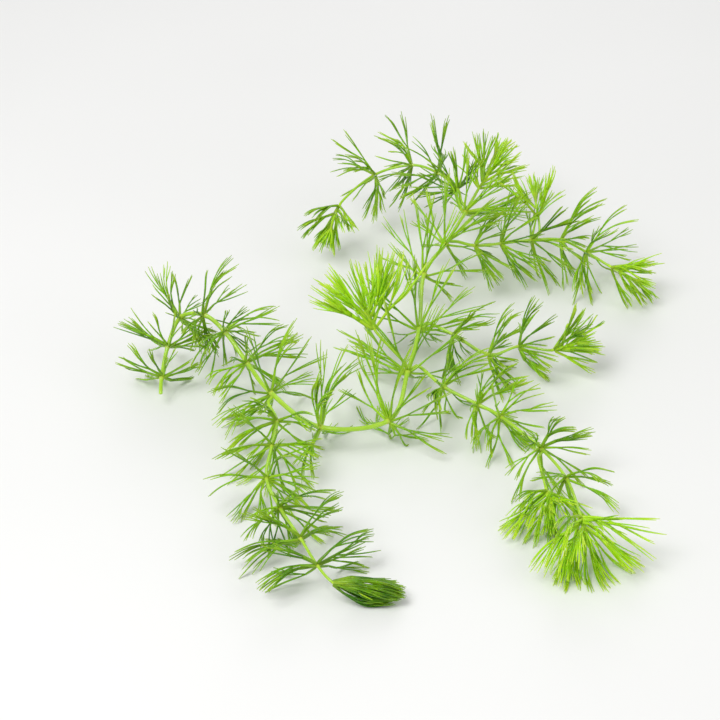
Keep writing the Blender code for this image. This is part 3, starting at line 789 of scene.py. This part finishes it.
def fine_leaf(shape, leaf, stem_place, scale, age, draw, fullness=1.0, clumped=CLUMPED_SHARE):
    """A leaf that forks up to three times into thin threads, which may cling together."""
    opening = CLUMPED_OPENING if draw.random() < clumped else 1.0
    root = leaf.root + (stem_place - leaf.root) * ROOT_SHARE
    base = smooth([root, leaf.root, leaf.fork], LEAF_STEP)
    thick = scale * draw.uniform(*THICKNESSES)
    radii = taper(len(base), BASE_RADIUS * thick * BASE_SWELL, PRONG_RADIUS * thick * FORK_SWELL)
    shape.tube(base, radii, np.linspace(0, FORK_VALUE, len(base)), age)
    for path in leaf.prongs:
        lead = [base[-2]] + [np.array(place) for place in path]
        prong = smooth(lead, LEAF_STEP)
        skip = max(1, round(np.linalg.norm(lead[1] - lead[0]) / LEAF_STEP))
        prong = waved(rounded(prong[skip:]), draw)
        add_prong(shape, prong, thick, opening, fullness, age, draw)


def leaf_age_and_shade(age, draw, spread=AGE_SPREAD):
    """A leaf's age with painted shade near its whorl's, from 0 young and unshaded to 1 old and
    shaded.
    """
    return min(1.0, max(0.0, age + draw.gauss(0, spread)))


def build_whorl(name, place, growth, age, material, draw):
    """The fine leaves of one whorl, and the bud in its axil where it has one."""
    shape = Shape()
    wanted = WHORL_LEAVES - draw.randrange(2)
    clinging_share = 1.0 if name in BUNDLED_WHORLS else CLINGING_SHARE
    for leaf in filled_whorl(leaves_of(name), place, growth, wanted, clinging_share, draw):
        fine_leaf(shape, leaf, np.array(place), 1.0, leaf_age_and_shade(age, draw), draw)
    if name in AXIL_BUDS:
        heading = Vector(AXIL_BUDS[name]).normalized()
        add_bud(shape, place + heading * AXIL_BUD_RAISE, heading, AXIL_BUD_SIZE, draw)
    return shape.piece("fine_" + name, material)


def is_beside(other, leaf, place):
    """Whether another leaf of a tip points nearly the same way."""
    if other is leaf:
        return False
    headings = [found.prongs[0][-1] - place for found in (leaf, other)]
    headings = [heading / np.linalg.norm(heading) for heading in headings]
    return headings[0] @ headings[1] > BESIDE_COSINE


def gathered(place, start, end, narrowing):
    """A place pulled towards a line, the more the nearer it lies to the line's end."""
    line = end - start
    share = (place - start) @ line / (line @ line)
    offset = place - start - line * share
    return place - offset * narrowing * min(max(share, 0.0), 1.0) ** GATHERING_POWER


def build_tip(name, route, start, age, material, draw):
    """The dense leaves of a stem's leafy end and the bud in its middle."""
    shape = Shape()
    last = len(route.points) - 1
    middle = (start + last) / 2
    growth = route.heading(middle)
    shares = [index / AXIS_STEPS for index in range(AXIS_STEPS + 1)]
    axis = [np.array(route.at(start + (last - start) * share)) for share in shares]
    leaves = leaves_of(name)
    filling = WET_BRUSH if name == "left_tip_leaves" else BUSHY
    # The wet brush's extra age darkens it further, as painted shade as well as age.
    age = age + filling.aging
    base = np.array(route.at(start))
    end = np.mean([path[-1] for leaf in leaves for path in leaf.prongs], axis=0)

    def add(leaf, nearest, thickness):
        leaf = changed(leaf, lambda place: gathered(place, base, end, filling.narrowing))
        fine_leaf(shape, leaf, nearest, thickness, leaf_age_and_shade(age, draw, TIP_AGE_SPREAD), draw,
                  filling.fullness, filling.clumped)

    for leaf in leaves:
        nearest = min(axis, key=lambda place: np.linalg.norm(place - leaf.root))
        near = [other for other in leaves if is_beside(other, leaf, nearest)]
        add(leaf, nearest, filling.thickness * OWN_THICKNESS)
        for copy in range(filling.copies):
            other = jittered(leaf, nearest, growth, draw.choice(filling.turns), draw)
            if near and draw.random() < filling.between:
                other = blended(leaf, draw.choice(near), draw.uniform(*BETWEEN_SHARES))
            add(other, nearest, filling.thickness)
    add_bud(shape, route.at(last), route.heading(last), 1.0, draw)
    path = smooth([route.at(start), route.at(middle), route.at(last)], TIP_STEM_STEP)
    radii = np.linspace(*TIP_STEM_RADII, len(path))
    shape.tube(path, radii, np.full(len(path), TIP_STEM_KNOT), 0.0, TIP_STEM_SIDES)
    return shape.piece("fine_" + name, material)


def add_bud(shape, end, growth, size, draw):
    """Short young leaves that stand close together around a growing point."""
    across = growth.orthogonal().normalized()
    for index in range(BUD_LEAVES):
        turn = Matrix.Rotation(index * BUD_TURN, 3, growth)
        outward = turn @ across
        spread = BUD_SPREAD + BUD_SPREAD_GAIN * index
        length = (BUD_LENGTH + BUD_LENGTH_GAIN * index) * size
        middle = end + (growth * math.cos(spread) + outward * math.sin(spread)) * length * 0.5
        reach = outward * length * spread * BUD_REACH
        tip = end + growth * length * math.cos(spread * BUD_CURL) + reach
        root = end - growth * BUD_ROOT_DEPTH * size
        path = smooth([root, end + outward * BUD_ROOT_OFFSET, middle, tip], BUD_STEP)
        thread(shape, path, PRONG_RADIUS * size, POINT_RADIUS, 0.0, BUD_VALUE, 0.0, draw)


def stem_numbers(route, first, end):
    """Joint numbers from the first to the end, whose places lie about one step apart."""
    numbers = []
    number = first
    while number < end:
        numbers.append(number)
        ahead = route.at(min(number + NUMBER_STEP, end))
        length = (ahead - route.at(number)).length
        number += NUMBER_STEP * STEM_STEP / max(length, LEAST_LENGTH)
    return numbers + [end]


def build_stems(branch, route, fork, material):
    """The branch's stems, as smooth tubes with knots at the joints that carry whorls."""
    first = 0.0
    joints = [route.at(index + route.shift) for index in branch.whorls]
    for order, piece in enumerate(branch.pieces):
        end = piece.last + route.shift
        numbers = stem_numbers(route, first, end)
        path = [route.at(number) for number in numbers]
        if order == 0 and fork is not None:
            numbers = [first, first] + numbers
            path = [fork, fork * 0.5 + path[0] * 0.5] + path
        radii = []
        along = []
        for number, place in zip(numbers, path):
            share = (number - first) / max(end - first, TINY)
            radius = piece.start_radius + (piece.end_radius - piece.start_radius) * share
            gap = min(((place - joint).length for joint in joints), default=math.inf)
            knot = math.exp(-(gap / KNOT_LENGTH) ** 2)
            radii.append(radius * (1.0 + KNOT_SWELL * knot))
            along.append(knot)
        shape = Shape()
        # The stem's colour follows the branch's mean age, which also holds painted shade.
        shape.tube(path, radii, along, sum(branch.ages) / 2, STEM_SIDES)
        item = shape.piece("smooth_" + piece.name, material)
        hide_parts(piece.name)
        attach(item, "root")
        first = end


def new_material(name):
    """A material with its node tree and its main shader."""
    material = bpy.data.materials.new(name)
    material.use_nodes = True
    tree = material.node_tree
    return material, tree, tree.nodes["Principled BSDF"]


def ramp(tree, factor, stops):
    """A colour ramp with its stops, fed by a factor."""
    node = tree.nodes.new("ShaderNodeValToRGB")
    elements = node.color_ramp.elements
    while len(elements) < len(stops):
        elements.new(0.5)
    for element, (place, colour) in zip(elements, stops):
        element.position = place
        element.color = (*colour, 1.0)
    tree.links.new(factor, node.inputs["Fac"])
    return node.outputs["Color"]


def grey(value):
    """A grey colour."""
    return (value, value, value)


def attribute(tree, label):
    """A value that the mesh holds at each point."""
    node = tree.nodes.new("ShaderNodeAttribute")
    node.attribute_name = label
    return node.outputs["Fac"]


def noise(tree, scale, detail):
    """Noise over a piece's own coordinates, which are metres."""
    place = tree.nodes.new("ShaderNodeTexCoord")
    node = tree.nodes.new("ShaderNodeTexNoise")
    node.inputs["Scale"].default_value = scale
    node.inputs["Detail"].default_value = detail
    tree.links.new(place.outputs["Object"], node.inputs["Vector"])
    return node.outputs["Fac"]


# The numbers of a mix node's two colours and of its result.
FIRST_COLOUR = 6
SECOND_COLOUR = 7
MIXED_COLOUR = 2


def mixed(tree, factor, first, second):
    """Two colours mixed by a factor."""
    node = tree.nodes.new("ShaderNodeMix")
    node.data_type = "RGBA"
    tree.links.new(factor, node.inputs["Factor"])
    tree.links.new(first, node.inputs[FIRST_COLOUR])
    tree.links.new(second, node.inputs[SECOND_COLOUR])
    return node.outputs[MIXED_COLOUR]


def bumped(tree, shader, height, strength, distance):
    """Gives a shader's surface a fine relief."""
    node = tree.nodes.new("ShaderNodeBump")
    node.inputs["Strength"].default_value = strength
    node.inputs["Distance"].default_value = distance
    tree.links.new(height, node.inputs["Height"])
    tree.links.new(node.outputs["Normal"], shader.inputs["Normal"])


def leaf_material(name, young_stops, old_and_shaded_stops):
    """Wet translucent leaves, paler at both ends and darker with age and with painted shade."""
    material, tree, shader = new_material(name)
    along = attribute(tree, "along")
    young = ramp(tree, along, young_stops)
    old_and_shaded = ramp(tree, along, old_and_shaded_stops)
    patches = tree.nodes.new("ShaderNodeMapRange")
    patches.inputs["From Min"].default_value = 0.3
    patches.inputs["From Max"].default_value = 0.7
    patches.inputs["To Min"].default_value = -0.3
    patches.inputs["To Max"].default_value = 0.3
    tree.links.new(noise(tree, 110.0, 3.0), patches.inputs["Value"])
    # The age attribute, which also holds painted shade, with random patches added, mixes the
    # young colours towards the old and shaded ones.
    aged_and_shaded = tree.nodes.new("ShaderNodeMath")
    aged_and_shaded.operation = "ADD"
    aged_and_shaded.use_clamp = True
    tree.links.new(attribute(tree, "age"), aged_and_shaded.inputs[0])
    tree.links.new(patches.outputs["Result"], aged_and_shaded.inputs[1])
    colour = mixed(tree, aged_and_shaded.outputs["Value"], young, old_and_shaded)
    tree.links.new(colour, shader.inputs["Base Color"])
    shine = ramp(tree, noise(tree, 900.0, 2.0), [(0.3, grey(0.2)), (0.75, grey(0.4))])
    tree.links.new(shine, shader.inputs["Roughness"])
    shader.inputs["Subsurface Weight"].default_value = 0.3
    shader.inputs["Subsurface Radius"].default_value = (0.6, 1.0, 0.15)
    shader.inputs["Subsurface Scale"].default_value = 0.0008
    shader.inputs["IOR"].default_value = 1.4
    shader.inputs["Specular IOR Level"].default_value = 0.3
    shader.inputs["Coat Weight"].default_value = 0.18
    shader.inputs["Coat Roughness"].default_value = 0.1
    bumped(tree, shader, noise(tree, 2500.0, 3.0), 0.25, 0.0001)
    return material


def stem_material():
    """Smooth light green stems, yellower at the joints and darker with age and painted shade."""
    material, tree, shader = new_material("stem_tissue")
    knot = attribute(tree, "along")
    age = attribute(tree, "age")
    young = ramp(tree, knot, YOUNG_STEM_STOPS)
    old_and_shaded = ramp(tree, knot, OLD_AND_SHADED_STEM_STOPS)
    # Older stems, and stems given painted shade, mix towards the old colours.
    aged_and_shaded = mixed(tree, age, young, old_and_shaded)
    streak = ramp(tree, noise(tree, 260.0, 3.0), [(0.3, grey(0.0)), (0.75, grey(1.0))])
    tree.links.new(mixed(tree, streak, aged_and_shaded, young), shader.inputs["Base Color"])
    shine = ramp(tree, noise(tree, 700.0, 2.0), [(0.3, grey(0.16)), (0.75, grey(0.34))])
    tree.links.new(shine, shader.inputs["Roughness"])
    shader.inputs["Subsurface Weight"].default_value = 0.45
    shader.inputs["Subsurface Radius"].default_value = (0.6, 1.0, 0.2)
    shader.inputs["Subsurface Scale"].default_value = 0.0015
    shader.inputs["IOR"].default_value = 1.4
    shader.inputs["Coat Weight"].default_value = 0.5
    shader.inputs["Coat Roughness"].default_value = 0.1
    bumped(tree, shader, noise(tree, 1400.0, 3.0), 0.3, 0.00015)
    return material


def floor_material():
    """A pale surface with a faint change of tone."""
    material, tree, shader = new_material("pale_floor")
    tone = ramp(tree, noise(tree, 6.0, 2.0), FLOOR_STOPS)
    tree.links.new(tone, shader.inputs["Base Color"])
    shader.inputs["Roughness"].default_value = 0.7
    return material


def build_stage():
    """A pale floor and soft light from above and both sides."""
    bpy.ops.mesh.primitive_plane_add(size=FLOOR_SIZE, location=(0.0, 0.0, 0.0))
    floor = bpy.context.active_object
    floor.name = "floor"
    floor.data.materials.append(floor_material())
    world = bpy.data.worlds.new("studio")
    bpy.context.scene.world = world
    world.use_nodes = True
    background = world.node_tree.nodes["Background"]
    background.inputs["Color"].default_value = (1.0, 1.0, 1.0, 1.0)
    background.inputs["Strength"].default_value = SKY_STRENGTH
    for name, place, size, power in LIGHTS:
        add_light(name, place, size, power)


def add_light(name, place, size, power):
    """A square light that faces the middle of the floor."""
    light = bpy.data.lights.new(name, "AREA")
    light.shape = "SQUARE"
    light.size = size
    light.energy = power
    item = bpy.data.objects.new(name, light)
    item.location = place
    item.rotation_euler = (-Vector(place)).to_track_quat("-Z", "Y").to_euler()
    bpy.context.scene.collection.objects.link(item)


def build_camera():
    """The camera at the photograph's viewpoint."""
    data = bpy.data.cameras.new("camera")
    data.lens = CAMERA_LENS
    data.sensor_width = SENSOR_WIDTH
    data.clip_start = CAMERA_NEAR * METRE
    camera = bpy.data.objects.new("camera", data)
    aim = -PLANT_CENTRE * METRE
    away = Vector((0.0, -math.cos(CAMERA_ELEVATION), math.sin(CAMERA_ELEVATION)))
    camera.location = aim + away * CAMERA_DISTANCE * METRE
    camera.rotation_euler = (math.pi / 2 - CAMERA_ELEVATION, 0.0, 0.0)
    bpy.context.scene.collection.objects.link(camera)
    bpy.context.scene.camera = camera


def build_plant():
    """Every stem, whorl and leafy tip, from the main stem to the side branch."""
    leaves = leaf_material("leaf_tissue", YOUNG_STOPS, OLD_AND_SHADED_STOPS)
    young_leaves = leaf_material("young_leaf_tissue", TENDER_STOPS, DEEP_AND_SHADED_STOPS)
    stem = stem_material()
    routes = {}
    radii = {}
    for seed, branch in enumerate(BRANCHES):
        radii[branch.name] = joint_radii(branch)
        routes[branch.name], fork = branch_route(branch, routes, radii)
        route = routes[branch.name]
        build_stems(branch, route, fork, stem)
        first_age_and_shade, last_age_and_shade = branch.ages
        for number, index in enumerate(branch.whorls, 1):
            name = f"{branch.name}_whorl_{number:02d}"
            draw = random.Random(seed * SEEDS_PER_BRANCH + index)
            # Age with painted shade, from the branch's first whorl to its tip.
            age = first_age_and_shade + (last_age_and_shade - first_age_and_shade) * (index / (len(branch.joints) - 1))
            place = route.at(index + route.shift)
            growth = route.heading(index + route.shift)
            item = build_whorl(name, place, growth, age, leaves, draw)
            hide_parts(name)
            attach(item, "root")
        draw = random.Random(seed * SEEDS_PER_BRANCH + TIP_SEED)
        start = branch.pieces[-1].last + route.shift
        item = build_tip(branch.tip, route, start, last_age_and_shade, young_leaves, draw)
        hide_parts(branch.tip)
        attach(item, "root")


build_plant()
build_stage()
build_camera()
bpy.context.scene.view_settings.view_transform = "Standard"
